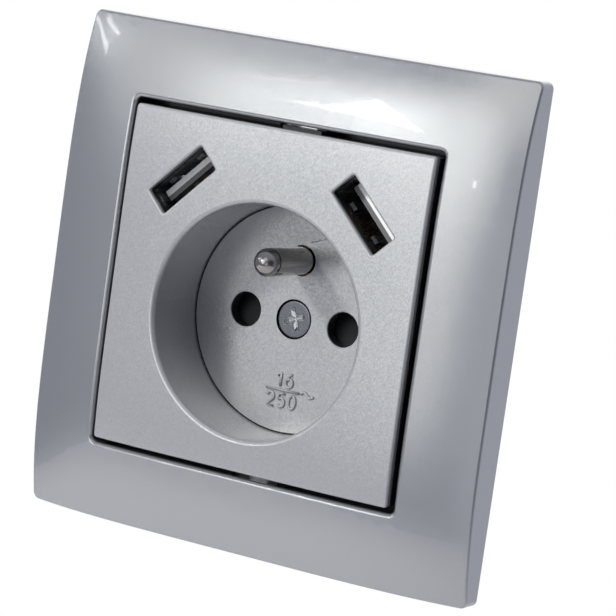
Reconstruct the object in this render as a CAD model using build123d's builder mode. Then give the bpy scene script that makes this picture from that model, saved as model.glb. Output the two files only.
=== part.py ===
"""Flush wall socket with an earth pin and two USB-A ports.

Millimetres. X to the right, Z up, Y into the wall. The wall surface is the plane Y = 0 and the
origin is the middle of the two box-screw slots on that plane. A depth counts from the wall surface
into the wall, so what stands in front of the wall has a negative depth.
"""
import os
from math import cos, radians, sin, tan

from build123d import *

# Frame
band_width = 13.25
frame_corner = 1.2
frame_crest = 9.6
frame_wall = 2.0
frame_skin = 2.2
frame_edge_round = 0.5
pillow_fall = 3.1
opening_corner = 1.0
opening_round = 0.7
ledge_reach = 2.3
ledge_thickness = 1.4
rib_thickness = 1.2
rib_spacing = 26.0

# Cover plate
plate_gap = 0.92
plate_margin = 1.265
plate_corner = 0.6
plate_crest = 10.2
plate_wall = 1.6
plate_skin = 2.0
plate_edge_round = 0.45
nib_width = 7.3
nib_shift = 3.1
nib_height = 0.6
nib_setback = 2.0
nib_length = 3.0

# Well with its holes, screw and earth pin
well_drop = 3.53
well_diameter = 39.0
well_draft = 0.2
well_depth = 13.5
well_wall = 1.3
well_rim_round = 0.75
floor_thickness = 2.2
groove_width = 0.25
groove_depth = 0.5
hole_spacing = 19.0
hole_diameter = 5.7
hole_lead = 0.2
recess_depth = 1.4
recess_gap = 0.2
screw_head_diameter = 6.4
screw_head_round = 0.3
screw_diameter = 3.0
screw_length = 17.0
screw_turn = 20.0
cross_length = 3.0
cross_width = 0.8
cross_depth = 0.9
screw_point = 0.4
nut_diameter = 5.6
nut_length = 7.0
pin_rise = 10.0
pin_diameter = 4.8
pin_length = 13.4
pin_hole_gap = 0.25
neck_diameter = 4.4
shank_diameter = 3.2
rivet_height = 0.5

# Child-protection shutter and the cover that guides it
shutter_thickness = 2.4
shutter_half_width = 14.0
shutter_cover_above = 3.1
shutter_tail = 7.5
shutter_gap = 0.4
ramp_width = 7.0
ramp_height = 6.0
ramp_depth = 1.9
stub_length = 1.2
rail_width = 2.0
cover_foot_gap = 0.45
cover_thickness = 1.5
spring_diameter = 2.6
spring_wire = 0.36
spring_turns = 6

# Moulded base
base_lap = 0.5
base_corner = 14.0
base_depth = 28.0
base_wall = 1.6
base_back_wall = 2.0
barrier_thickness = 1.4
barrier_height = 1.8
post_radius = 3.4
post_inset = 5.6
upper_cut_height = 4.0
well_notch_width = 15.0

# Mains contacts and terminals
contact_back_gap = 2.0
contact_bore = 4.9
contact_sheet = 0.8
contact_slit = 1.8
tab_sheet = 1.0
terminal_drop = 16.5
terminal_width = 8.4
terminal_screw_diameter = 3.5
terminal_screw_length = 6.5
terminal_head_diameter = 6.2
terminal_head_height = 2.4
driver_slot = 1.0
wire_gap = 1.6
wire_hole_diameter = 2.8
wire_hole_spacing = 6.4
clamp_thickness = 1.2
clamp_height = 6.8
tail_width = 2.4
strap_thickness = 1.0
strap_width = 8.0
strap_leg_gap = 1.93
earth_leg_width = 6.0
earth_terminal_height = 9.0

# USB ports
port_gap = 2.18
port_tilt = 45.0
slot_length = 12.5
slot_width = 4.9
slot_corner = 0.35
slot_round = 0.4
slot_lip = 0.8
pad_margin = 2.4
bezel_wall = 0.75
bezel_flange = 1.6
bezel_depth = 4.6
shell_setback = 2.2
shell_step_wide = 0.3
shell_step_high = 0.4
shell_corner = 1.0
shell_sheet = 0.35
leaf_spacing = 6.6
leaf_width = 1.5
leaf_setback = 1.5
leaf_length = 4.6
leaf_dip = 0.4
tongue_inset = 1.0
tongue_thickness = 1.84
tongue_setback = 1.6
tongue_face = -0.37
tongue_block = 4.5
strip_width = 1.0
strip_thickness = 0.3
strip_setback = 2.4
strip_places = (-3.5, -1.0, 1.0, 3.5)

# Circuit board of the USB supply
board_thickness = 1.6
board_drop = 7.67
board_margin = 0.3
board_screw_spacing = 12.6
board_screw_height = 19.2
board_screw_diameter = 2.0
board_screw_head = 3.6
board_screw_head_height = 1.2
board_screw_length = 7.0
board_post_radius = 2.0
core_width = 10.0
core_length = 13.0
core_height = 8.0
core_leg = 2.0
core_middle_leg = 2.8
core_wall_gap = 4.1
core_rise = 1.3
winding_bulge = 1.5
winding_round = 1.0
tall_capacitor = (8.0, 12.0, 8.4, 5.9)
small_capacitor = (5.0, 11.0, 15.1, 3.6)
capacitor_chamfer = 0.5

# Mounting ring with its screws
ring_lap = 5.95
ring_corner = 6.0
ring_thickness = 1.0
aperture_gap = 1.17
side_ear_gap = 2.2
side_ear_height = 12.0
top_ear_width = 9.0
box_screw_spacing = 60.0
box_slot_width = 3.6
box_slot_length = 6.0
box_head_room = 9.0
ring_screw_diameter = 2.6
ring_screw_length = 9.0
ring_screw_head = 5.0
ring_screw_head_height = 1.2

# Spreader claws
claw_width = 7.4
claw_sheet = 1.2
claw_pivot_offset = 3.2
claw_pivot_depth = 4.2
claw_arm_end = 0.6
claw_reach = 15.3
claw_lean = 1.8
claw_tip = 2.6
claw_tip_drop = 0.9
claw_tooth = 1.0
claw_tooth_count = 4
claw_barrel = 1.7
claw_pin_radius = 0.9
claw_pin_head = 1.35
claw_pin_head_height = 0.5
claw_ear_thickness = 0.8
claw_ear_gap = 0.25
claw_screw_gap = 1.2
claw_screw_diameter = 2.9
claw_screw_head = 5.0
claw_screw_head_height = 1.6
claw_screw_travel = 1.2
claw_screw_tip = 0.3

# Clearances
slide_clearance = 0.2
hole_clearance = 0.1
running_clearance = 0.05
free_clearance = 0.3
tip_clearance = 0.15

# Places that follow from the sizes above
well_axis = -well_drop
pin_height = well_axis + pin_rise
hole_side = hole_spacing / 2
well_outer = well_diameter / 2 + well_wall
tilt = radians(port_tilt)
flange_half_length = slot_length / 2 + bezel_flange
flange_half_width = slot_width / 2 + bezel_flange
port_reach = well_outer + port_gap + flange_half_width
port_side = (port_reach / cos(tilt) - well_drop) / 2
port_height = port_side
flange_reach = flange_half_length * cos(tilt) + flange_half_width * sin(tilt)
pad_reach = flange_reach + (pad_margin - bezel_flange) * (cos(tilt) + sin(tilt))
plate_side = 2 * (port_side + flange_reach + plate_margin + plate_wall)
opening_side = plate_side + 2 * plate_gap
frame_side = opening_side + 2 * band_width
ring_side = opening_side + 2 * ring_lap
aperture_side = 2 * (well_outer + well_drop + aperture_gap)
base_side = aperture_side - 2 * base_lap
aperture_corner = base_corner + base_lap
post_place = base_side / 2 - post_inset
seat_depth = -ring_thickness - ledge_thickness
floor_front = well_depth - plate_crest
floor_back = floor_front + floor_thickness
recess_back = floor_front + recess_depth
recess_diameter = screw_head_diameter + 2 * recess_gap
well_floor_radius = well_diameter / 2 - well_depth * tan(radians(well_draft))
shutter_front = floor_back + shutter_gap
shutter_back = shutter_front + shutter_thickness
shutter_top = well_axis + shutter_cover_above
shutter_foot = well_axis - shutter_tail
spring_foot = cover_foot_gap + rail_width + base_wall - base_side / 2
spring_length = shutter_foot - spring_foot
spring_depth = (shutter_front + shutter_back) / 2
coil_height = spring_length - spring_wire - 2 * hole_clearance
cover_front = shutter_back + shutter_gap
cover_back = cover_front + cover_thickness
cover_top = barrier_height - slide_clearance
rail_side = shutter_half_width + slide_clearance + rail_width / 2
contact_front = cover_back + free_clearance
nut_front = cover_back + base_wall
earth_leg_height = barrier_height + barrier_thickness + slide_clearance
rivet_radius = pin_height - earth_leg_height - strap_thickness - hole_clearance
strap_front = floor_back + slide_clearance
strap_back = strap_front + strap_thickness
base_inside = base_depth - base_back_wall
contact_back = base_inside - contact_back_gap
terminal_back = base_inside + slide_clearance
clamp_back = terminal_back - terminal_head_height
tab_back = clamp_back - clamp_thickness - wire_gap
wire_depth = tab_back + wire_gap / 2
terminal_side = post_place - post_radius - free_clearance - terminal_width / 2
strap_leg_height = well_axis + well_outer + strap_leg_gap
board_bottom = well_axis + well_outer - board_drop
terminals = (
    (-terminal_side, -terminal_drop),
    (terminal_side, -terminal_drop),
    (0, earth_terminal_height),
)
pad_fall = pillow_fall * (((port_side + pad_reach) ** 4 + port_height**4) / (frame_side / 2) ** 4)
flange_front = plate_skin + pad_fall - plate_crest
shell_front = shell_setback - plate_crest
tongue_front = shell_front + tongue_setback
leaf_front = shell_front + leaf_setback
leaf_back = leaf_front + leaf_length
board_front = strap_back + rivet_height + hole_clearance
shell_length = board_front - shell_front
shell_width = slot_length + 2 * shell_step_wide
shell_height = slot_width + 2 * shell_step_high
tongue_width = shell_width - 2 * tongue_inset
board_back = board_front + board_thickness
block_front = board_front - tongue_block
strip_front = tongue_front + strip_setback
strip_middle = tongue_face - strip_thickness / 2
base_inner_side = base_side - 2 * base_wall
base_inner_corner = base_corner - base_wall
top_post_foot = strap_leg_height + strap_thickness + 2 * slide_clearance
top_post_height = base_side / 2 - top_post_foot
ring_screw_places = (
    (-post_place, -post_place),
    (post_place, -post_place),
    (0, top_post_foot + top_post_height / 2),
)
core_place = board_bottom + core_rise + core_height / 2
core_side = base_inner_side / 2 - core_wall_gap - core_width / 2
claw_screw_side = base_side / 2 + claw_screw_gap
claw_pivot_side = claw_screw_side + claw_pivot_offset
claw_back = claw_pivot_depth + claw_barrel
claw_ear_place = claw_width / 2 + claw_ear_gap + claw_ear_thickness / 2
claw_screw_end = claw_pivot_depth - claw_sheet / 2 - tip_clearance
claw_head_back = -ring_thickness - claw_screw_travel - tip_clearance
form_half = frame_side / 2 + frame_wall
form_fall = pillow_fall * (form_half / (frame_side / 2)) ** 4
form_depth = 2 * plate_crest
sides = (("left", -1), ("right", 1))

os.makedirs("parts", exist_ok=True)


def level(depth: float) -> Plane:
    """Plane parallel to the wall at a depth; extrusions from it run towards the room."""
    return Plane.XZ.offset(-depth)


def save(builder: BuildPart, name: str) -> None:
    """Label the finished piece and write it as its own file."""
    builder.part.label = name
    export_step(builder.part, f"parts/{name}.step")


# Pillowed form: two equal quartic curves, one swept along the other, crest at the origin
with BuildPart() as front_form:
    with BuildLine(Plane.XY) as form_path:
        Bezier(
            (-form_half, form_fall),
            (-form_half / 2, -form_fall),
            (0, form_fall),
            (form_half / 2, -form_fall),
            (form_half, form_fall),
        )
    with BuildSketch(Plane((-form_half, form_fall, 0), x_dir=(0, 1, 0), z_dir=(1, 0, 0))):
        with BuildLine():
            Bezier(
                (form_fall, -form_half),
                (-form_fall, -form_half / 2),
                (form_fall, 0),
                (-form_fall, form_half / 2),
                (form_fall, form_half),
            )
            Polyline(
                (form_fall, form_half),
                (form_depth, form_half),
                (form_depth, -form_half),
                (form_fall, -form_half),
            )
        make_face()
    sweep(path=form_path.line, normal=(1, 0, 0))


def pillow(crest: float) -> Part:
    """The pillowed form with its crest at a height above the wall."""
    return front_form.part.moved(Location((0, -crest, 0)))


# Hollow behind the frame's face, divided by ribs
with BuildPart() as frame_hollow:
    with BuildSketch(level(0)):
        Rectangle(frame_side - 2 * frame_wall, frame_side - 2 * frame_wall)
        Rectangle(opening_side + 2 * frame_wall, opening_side + 2 * frame_wall, mode=Mode.SUBTRACT)
        with GridLocations(rib_spacing, 0, 2, 1):
            Rectangle(rib_thickness, frame_side, mode=Mode.SUBTRACT)
        with GridLocations(0, rib_spacing, 1, 2):
            Rectangle(frame_side, rib_thickness, mode=Mode.SUBTRACT)
    extrude(amount=frame_crest)
    add(pillow(frame_crest - frame_skin), mode=Mode.INTERSECT)

with BuildPart() as outer_frame:
    with BuildSketch(level(0)):
        RectangleRounded(frame_side, frame_side, frame_corner)
        RectangleRounded(opening_side, opening_side, opening_corner, mode=Mode.SUBTRACT)
    extrude(amount=frame_crest)
    add(pillow(frame_crest), mode=Mode.INTERSECT)
    fillet(outer_frame.faces().sort_by(Axis.Y)[0].outer_wire().edges(), frame_edge_round)
    fillet(outer_frame.faces().sort_by(Axis.Y)[0].inner_wires()[0].edges(), opening_round)
    add(frame_hollow.part, mode=Mode.SUBTRACT)
    # Room for the ring behind the opening's wall and the ribs
    with BuildSketch(level(0)):
        RectangleRounded(ring_side + 2 * free_clearance, ring_side + 2 * free_clearance, ring_corner)
    extrude(amount=ring_thickness, mode=Mode.SUBTRACT)
    # Ledge between ring and cover plate, open at the claw screws
    with BuildSketch(level(-ring_thickness)):
        Rectangle(opening_side + frame_wall, opening_side + frame_wall)
        Rectangle(opening_side - 2 * ledge_reach, opening_side - 2 * ledge_reach, mode=Mode.SUBTRACT)
        Rectangle(opening_side, claw_screw_head + 6 * free_clearance, mode=Mode.SUBTRACT)
    extrude(amount=ledge_thickness)
    # Room for the heads of the two box screws
    with BuildSketch(level(-ring_thickness)):
        with GridLocations(0, box_screw_spacing, 1, 2):
            Rectangle(box_head_room, box_head_room)
    extrude(amount=ring_thickness + ledge_thickness + free_clearance, mode=Mode.SUBTRACT)
save(outer_frame, "outer_frame")

# Hollow behind the cover plate's face, with a flat pad left for each port
with BuildPart() as plate_hollow:
    with BuildSketch(level(seat_depth)):
        Rectangle(plate_side - 2 * plate_wall, plate_side - 2 * plate_wall)
    extrude(amount=plate_crest)
    add(pillow(plate_crest - plate_skin), mode=Mode.INTERSECT)
    for _, side in sides:
        with BuildSketch(level(flange_front)):
            with Locations((side * port_side, port_height)):
                Rectangle(
                    slot_length + 2 * pad_margin,
                    slot_width + 2 * pad_margin,
                    rotation=-port_tilt * side,
                )
        extrude(amount=plate_skin, mode=Mode.SUBTRACT)

# Pockets behind the slots, under a lip that follows the face
with BuildPart() as port_pockets:
    for _, side in sides:
        with BuildSketch(level(seat_depth)):
            with Locations((side * port_side, port_height)):
                Rectangle(
                    slot_length + 2 * (bezel_wall + hole_clearance),
                    slot_width + 2 * (bezel_wall + hole_clearance),
                    rotation=-port_tilt * side,
                )
        extrude(amount=plate_crest)
    add(pillow(plate_crest - slot_lip), mode=Mode.INTERSECT)

with BuildPart() as cover_plate:
    with BuildSketch(level(seat_depth)):
        RectangleRounded(plate_side, plate_side, plate_corner)
    extrude(amount=plate_crest + seat_depth)
    add(pillow(plate_crest), mode=Mode.INTERSECT)
    fillet(cover_plate.faces().sort_by(Axis.Y)[0].outer_wire().edges(), plate_edge_round)
    add(plate_hollow.part, mode=Mode.SUBTRACT)
    # Well tube with its drafted bore and the groove round its floor
    with BuildSketch(level(floor_back)):
        with Locations((0, well_axis)):
            Circle(well_outer)
    extrude(amount=floor_back + plate_crest - plate_skin)
    with BuildSketch(level(floor_front)):
        with BuildLine():
            CenterArc((0, well_axis), well_floor_radius, 0, 180)
            CenterArc((0, well_axis), well_floor_radius, 180, 180)
        make_face()
    extrude(amount=well_depth + plate_skin, taper=-well_draft, mode=Mode.SUBTRACT)
    with BuildSketch(level(floor_front + groove_depth)):
        with Locations((0, well_axis)):
            Circle(well_floor_radius)
            Circle(well_floor_radius - groove_width, mode=Mode.SUBTRACT)
    extrude(amount=groove_depth, mode=Mode.SUBTRACT)
    # Pin holes, led in from the well
    with BuildSketch(level(floor_back)):
        with Locations((0, well_axis)):
            with GridLocations(hole_spacing, 0, 2, 1):
                Circle(hole_diameter / 2)
    extrude(amount=floor_thickness, mode=Mode.SUBTRACT)
    floor_circles = cover_plate.edges().filter_by(GeomType.CIRCLE).filter_by_position(
        Axis.Y, floor_front - running_clearance, floor_front + running_clearance
    )
    chamfer(floor_circles.sort_by(SortBy.RADIUS)[:2], hole_lead)
    # Centre screw's hole and recess, and the earth pin's hole
    with BuildSketch(level(floor_back)):
        with Locations((0, well_axis)):
            Circle(screw_diameter / 2 + slide_clearance)
        with Locations((0, pin_height)):
            Circle(pin_diameter / 2 + pin_hole_gap)
    extrude(amount=floor_thickness, mode=Mode.SUBTRACT)
    with BuildSketch(level(recess_back)):
        with Locations((0, well_axis)):
            Circle(recess_diameter / 2)
    extrude(amount=recess_depth, mode=Mode.SUBTRACT)
    # USB slots with rounded edges at the face
    for _, side in sides:
        with BuildSketch(level(seat_depth)):
            with Locations((side * port_side, port_height)):
                RectangleRounded(slot_length, slot_width, slot_corner, rotation=-port_tilt * side)
        extrude(amount=plate_crest, mode=Mode.SUBTRACT)
    face_wires = cover_plate.faces().sort_by(Axis.Y)[0].inner_wires().sort_by(SortBy.LENGTH)
    fillet(face_wires[-1].edges(), well_rim_round)
    face_wires = cover_plate.faces().sort_by(Axis.Y)[0].inner_wires().sort_by(SortBy.LENGTH)
    fillet(face_wires[0].edges() + face_wires[1].edges(), slot_round)
    add(port_pockets.part, mode=Mode.SUBTRACT)
    # Room in the rim for the claw screws and the box screws
    with BuildSketch(level(seat_depth)):
        Rectangle(plate_side + plate_wall, claw_screw_head + 4 * free_clearance)
        Rectangle(box_head_room, plate_side + plate_wall)
        Rectangle(plate_side - 2 * plate_wall, plate_side - 2 * plate_wall, mode=Mode.SUBTRACT)
    extrude(amount=claw_screw_head_height + claw_screw_travel, mode=Mode.SUBTRACT)
    # Nib on the top edge that centres the plate in the frame
    with BuildSketch(level(nib_setback + nib_length - plate_crest)):
        with Locations((nib_shift, plate_side / 2)):
            Rectangle(nib_width, 2 * nib_height)
        Rectangle(plate_side - plate_wall, plate_side - plate_wall, mode=Mode.SUBTRACT)
    extrude(amount=nib_length)
save(cover_plate, "cover_plate")

with BuildPart() as centre_screw:
    with BuildSketch(level(recess_back)):
        with Locations((0, well_axis)):
            Circle(screw_head_diameter / 2)
    extrude(amount=recess_depth - hole_clearance)
    fillet(centre_screw.edges().sort_by(Axis.Y)[0], screw_head_round)
    with BuildSketch(level(floor_front + hole_clearance + cross_depth)):
        with Locations((0, well_axis)):
            Rectangle(cross_length, cross_width, rotation=screw_turn)
            Rectangle(cross_width, cross_length, rotation=screw_turn)
    extrude(amount=recess_depth, mode=Mode.SUBTRACT)
    with BuildSketch(level(recess_back + screw_length)):
        with Locations((0, well_axis)):
            Circle(screw_diameter / 2)
    extrude(amount=screw_length)
    chamfer(centre_screw.edges().sort_by(Axis.Y)[-1], screw_point)
save(centre_screw, "centre_screw")

with BuildPart() as centre_nut:
    with BuildSketch(level(nut_front + nut_length)):
        with Locations((0, well_axis)):
            Circle(nut_diameter / 2)
            Circle(screw_diameter / 2 + running_clearance, mode=Mode.SUBTRACT)
    extrude(amount=nut_length)
save(centre_nut, "centre_nut")

# Earth pin with a round nose, riveted into the strap
with BuildPart() as earth_pin:
    with BuildSketch(level(floor_front)):
        with Locations((0, pin_height)):
            Circle(pin_diameter / 2)
    extrude(amount=pin_length)
    fillet(earth_pin.edges().sort_by(Axis.Y)[0], pin_diameter / 2 - running_clearance)
    with BuildSketch(level(strap_front)):
        with Locations((0, pin_height)):
            Circle(neck_diameter / 2)
    extrude(amount=strap_front - floor_front)
    with BuildSketch(level(strap_back)):
        with Locations((0, pin_height)):
            Circle(shank_diameter / 2)
    extrude(amount=strap_thickness)
    with BuildSketch(level(strap_back + rivet_height)):
        with Locations((0, pin_height)):
            Circle(rivet_radius)
    extrude(amount=rivet_height)
save(earth_pin, "earth_pin")

with BuildPart() as earth_strap:
    # Plate behind the well floor, up to the forward leg
    strap_height = strap_leg_height + strap_thickness - earth_leg_height
    with BuildSketch(level(strap_back)):
        with Locations((0, earth_leg_height)):
            Rectangle(strap_width, strap_height, align=(Align.CENTER, Align.MIN))
        with Locations((0, pin_height)):
            Circle(shank_diameter / 2 + running_clearance, mode=Mode.SUBTRACT)
    extrude(amount=strap_thickness)
    # Forward leg and the flange under the ring
    with BuildSketch(level(strap_back)):
        with Locations((0, strap_leg_height)):
            Rectangle(strap_width, strap_thickness, align=(Align.CENTER, Align.MIN))
    extrude(amount=strap_back)
    flange_height = base_side / 2 - strap_leg_height
    with BuildSketch(level(strap_thickness)):
        with Locations((0, strap_leg_height)):
            Rectangle(strap_width, flange_height, align=(Align.CENTER, Align.MIN))
        with Locations(ring_screw_places[2]):
            Circle(ring_screw_diameter / 2 + hole_clearance, mode=Mode.SUBTRACT)
    extrude(amount=strap_thickness)
    # Rearward leg and the terminal tab
    with BuildSketch(level(tab_back)):
        with Locations((0, earth_leg_height)):
            Rectangle(earth_leg_width, strap_thickness, align=(Align.CENTER, Align.MIN))
    extrude(amount=tab_back - strap_front)
    earth_tab_height = earth_terminal_height + terminal_width / 2 - earth_leg_height
    with BuildSketch(level(tab_back)):
        with Locations((0, earth_leg_height)):
            Rectangle(terminal_width, earth_tab_height, align=(Align.CENTER, Align.MIN))
        with Locations(terminals[2]):
            Circle(terminal_screw_diameter / 2 + running_clearance, mode=Mode.SUBTRACT)
    extrude(amount=tab_sheet)
save(earth_strap, "earth_strap")

# Shutter bar: two ramps that a plug's pins push down together
with BuildPart() as shutter:
    shutter_height = shutter_top - shutter_foot
    with BuildSketch(level(shutter_back)):
        with Locations((0, shutter_foot)):
            Rectangle(2 * shutter_half_width, shutter_height, align=(Align.CENTER, Align.MIN))
        with Locations((0, well_axis - screw_diameter / 2 - free_clearance)):
            Rectangle(
                screw_diameter + 4 * free_clearance,
                shutter_height,
                align=(Align.CENTER, Align.MIN),
                mode=Mode.SUBTRACT,
            )
    extrude(amount=shutter_thickness)
    for _, side in sides:
        with BuildSketch(Plane.YZ.offset(side * hole_side)):
            Polygon(
                (shutter_front, shutter_top - ramp_height),
                (shutter_front + ramp_depth, shutter_top),
                (shutter_front, shutter_top),
                align=None,
            )
        extrude(amount=ramp_width / 2, both=True, mode=Mode.SUBTRACT)
    # Stub that centres the spring
    with BuildSketch(Plane.XY.offset(shutter_foot - stub_length)):
        with Locations((0, spring_depth)):
            Circle(spring_diameter / 2 - spring_wire - hole_clearance)
    extrude(amount=stub_length)
save(shutter, "shutter")

with BuildPart() as shutter_spring:
    with BuildLine() as coil:
        Helix(
            coil_height / spring_turns,
            coil_height,
            (spring_diameter - spring_wire) / 2,
            center=(0, spring_depth, spring_foot + spring_wire / 2 + hole_clearance),
        )
    with BuildSketch(Plane(coil.line @ 0, z_dir=coil.line % 0)):
        RegularPolygon(spring_wire / 2, 8)
    sweep(path=coil.line, is_frenet=True)
save(shutter_spring, "shutter_spring")

with BuildPart() as contact_cover:
    with BuildSketch(level(cover_back)):
        with Locations((0, cover_top)):
            Rectangle(2 * rail_side + rail_width, cover_top - shutter_foot, align=(Align.CENTER, Align.MAX))
            Rectangle(
                shutter_half_width + 2 * rail_width,
                cover_top - spring_foot + rail_width,
                align=(Align.CENTER, Align.MAX),
            )
        with Locations((0, well_axis)):
            with GridLocations(hole_spacing, 0, 2, 1):
                Circle(hole_diameter / 2, mode=Mode.SUBTRACT)
            Circle(screw_diameter / 2 + slide_clearance, mode=Mode.SUBTRACT)
    extrude(amount=cover_thickness)
    # Side rails for the shutter and the foot for its spring
    with BuildSketch(level(cover_front)):
        with Locations((0, shutter_top)):
            with GridLocations(2 * rail_side, 0, 2, 1):
                Rectangle(rail_width, shutter_top - shutter_foot, align=(Align.CENTER, Align.MAX))
        with Locations((0, spring_foot)):
            Rectangle(shutter_half_width, rail_width, align=(Align.CENTER, Align.MAX))
    extrude(amount=cover_front - floor_back)
save(contact_cover, "contact_cover")

with BuildPart() as base_housing:
    with BuildSketch(level(base_depth)):
        RectangleRounded(base_side, base_side, base_corner)
    extrude(amount=base_depth)
    fillet(base_housing.faces().sort_by(Axis.Y)[-1].edges(), base_wall)
    with BuildSketch(level(base_inside)):
        RectangleRounded(base_inner_side, base_inner_side, base_inner_corner)
    extrude(amount=base_inside, mode=Mode.SUBTRACT)
    # The upper half stops at the back of the circuit board
    with BuildSketch(level(board_back)):
        with Locations((0, upper_cut_height)):
            Rectangle(base_side, base_side, align=(Align.CENTER, Align.MIN))
    extrude(amount=board_back, mode=Mode.SUBTRACT)
    # Barriers between the poles and below the supply, with the boss for the nut
    with BuildSketch(level(base_inside)):
        with Locations((0, barrier_height)):
            Rectangle(base_inner_side, barrier_thickness, align=(Align.CENTER, Align.MIN))
            Rectangle(
                barrier_thickness,
                base_inner_side / 2 + barrier_height,
                align=(Align.CENTER, Align.MAX),
            )
        with Locations((0, well_axis)):
            Circle(nut_diameter / 2 + base_wall)
        with Locations((0, barrier_height + barrier_thickness / 2)):
            with GridLocations(hole_spacing, 0, 2, 1):
                Rectangle(tail_width + 2 * free_clearance, 2 * barrier_thickness, mode=Mode.SUBTRACT)
    extrude(amount=base_inside - cover_back)
    # Corner posts and top post for the ring screws
    with BuildSketch(level(base_inside)):
        with Locations(*ring_screw_places[:2]):
            Circle(post_radius)
        RectangleRounded(base_side, base_side, base_corner, mode=Mode.INTERSECT)
    extrude(amount=base_inside)
    with BuildSketch(level(base_inside)):
        with Locations((0, top_post_foot)):
            Rectangle(top_ear_width, top_post_height, align=(Align.CENTER, Align.MIN))
    extrude(amount=base_inside - strap_thickness)
    # Posts for the board screws
    with BuildSketch(level(base_inside)):
        with Locations((0, board_screw_height)):
            with GridLocations(board_screw_spacing, 0, 2, 1):
                Circle(board_post_radius)
    extrude(amount=base_inside - board_back)
    # Room for the well, open at the bottom where it is widest
    with BuildSketch(level(floor_back + slide_clearance)):
        with Locations((0, well_axis)):
            Circle(well_outer + free_clearance)
        with Locations((0, -base_side / 2)):
            Rectangle(well_notch_width, 4 * base_wall)
    extrude(amount=floor_back + slide_clearance, mode=Mode.SUBTRACT)
    # Screw holes and the seat of the nut
    with BuildSketch(level(ring_screw_length + base_wall)):
        with Locations(*ring_screw_places):
            Circle(ring_screw_diameter / 2 + running_clearance)
    extrude(amount=ring_screw_length + base_wall, mode=Mode.SUBTRACT)
    with BuildSketch(level(board_front + board_screw_length + base_wall)):
        with Locations((0, board_screw_height)):
            with GridLocations(board_screw_spacing, 0, 2, 1):
                Circle(board_screw_diameter / 2 + running_clearance)
    extrude(amount=board_screw_length + base_wall, mode=Mode.SUBTRACT)
    with BuildSketch(level(nut_front + nut_length)):
        with Locations((0, well_axis)):
            Circle(nut_diameter / 2 + running_clearance)
    extrude(amount=nut_front + nut_length, mode=Mode.SUBTRACT)
    with BuildSketch(level(recess_back + screw_length + base_wall)):
        with Locations((0, well_axis)):
            Circle(screw_diameter / 2 + slide_clearance)
    extrude(amount=screw_length, mode=Mode.SUBTRACT)
    # Holes in the back for a screwdriver, and in the bottom and top walls for the wires
    with BuildSketch(level(base_depth)):
        with Locations(*terminals):
            Circle(terminal_head_diameter / 2 + 2 * free_clearance)
    extrude(amount=base_back_wall, mode=Mode.SUBTRACT)
    with BuildSketch(Plane.XY.offset(-base_side / 2)):
        with Locations((0, wire_depth)):
            with GridLocations(2 * terminal_side, 0, 2, 1):
                with GridLocations(wire_hole_spacing, 0, 2, 1):
                    Circle(wire_hole_diameter / 2)
    extrude(amount=2 * base_wall, mode=Mode.SUBTRACT)
    with BuildSketch(Plane.XY.offset(top_post_foot)):
        with Locations((0, wire_depth)):
            with GridLocations(wire_hole_spacing, 0, 2, 1):
                Circle(wire_hole_diameter / 2)
    extrude(amount=top_post_height, mode=Mode.SUBTRACT)
    # Grooves beside the claw screws
    with BuildSketch(level(claw_back)):
        with GridLocations(2 * claw_screw_side, 0, 2, 1):
            Circle(claw_screw_diameter / 2 + 2 * free_clearance)
    extrude(amount=claw_back, mode=Mode.SUBTRACT)
save(base_housing, "base_housing")

# Mains contacts: split sleeve, terminal tab and the tail to the board
for pole, side in (("live", -1), ("neutral", 1)):
    with BuildPart() as contact:
        with BuildSketch(level(contact_back)):
            with Locations((side * hole_side, well_axis)):
                Circle(contact_bore / 2 + contact_sheet)
        extrude(amount=contact_back - contact_front)
        with BuildSketch(level(tab_back)):
            with BuildLine():
                Line((side * hole_side, well_axis), (side * terminal_side, -terminal_drop))
            trace(line_width=contact_bore)
            with Locations((side * terminal_side, -terminal_drop)):
                Rectangle(terminal_width, terminal_width)
                Circle(terminal_screw_diameter / 2 + running_clearance, mode=Mode.SUBTRACT)
        extrude(amount=tab_sheet)
        tail_height = board_bottom + contact_sheet - well_axis
        with BuildSketch(level(contact_front + contact_sheet)):
            with Locations((side * hole_side, well_axis)):
                Rectangle(tail_width, tail_height, align=(Align.CENTER, Align.MIN))
        extrude(amount=contact_sheet)
        with BuildSketch(level(contact_front)):
            with Locations((side * hole_side, board_bottom)):
                Rectangle(contact_sheet, contact_sheet, align=(Align.CENTER, Align.MIN))
        extrude(amount=contact_front - board_back)
        with BuildSketch(level(contact_back)):
            with Locations((side * hole_side, well_axis)):
                Circle(contact_bore / 2)
            with Locations((side * (hole_side + contact_bore / 2), well_axis)):
                Rectangle(contact_bore, contact_slit)
        extrude(amount=contact_back - contact_front, mode=Mode.SUBTRACT)
    save(contact, f"{pole}_contact")

with BuildPart() as terminal_clamps:
    with BuildSketch(level(clamp_back)):
        with Locations(*terminals):
            Rectangle(terminal_width, clamp_height)
            Circle(terminal_screw_diameter / 2 + hole_clearance, mode=Mode.SUBTRACT)
    extrude(amount=clamp_thickness)
save(terminal_clamps, "terminal_clamps")

with BuildPart() as terminal_screws:
    with BuildSketch(level(terminal_back)):
        with Locations(*terminals):
            Circle(terminal_head_diameter / 2)
    extrude(amount=terminal_head_height)
    with BuildSketch(level(clamp_back)):
        with Locations(*terminals):
            Circle(terminal_screw_diameter / 2)
    extrude(amount=terminal_screw_length)
    with BuildSketch(level(terminal_back)):
        with Locations(*terminals):
            Rectangle(terminal_head_diameter, driver_slot)
    extrude(amount=driver_slot, mode=Mode.SUBTRACT)
save(terminal_screws, "terminal_screws")

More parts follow.
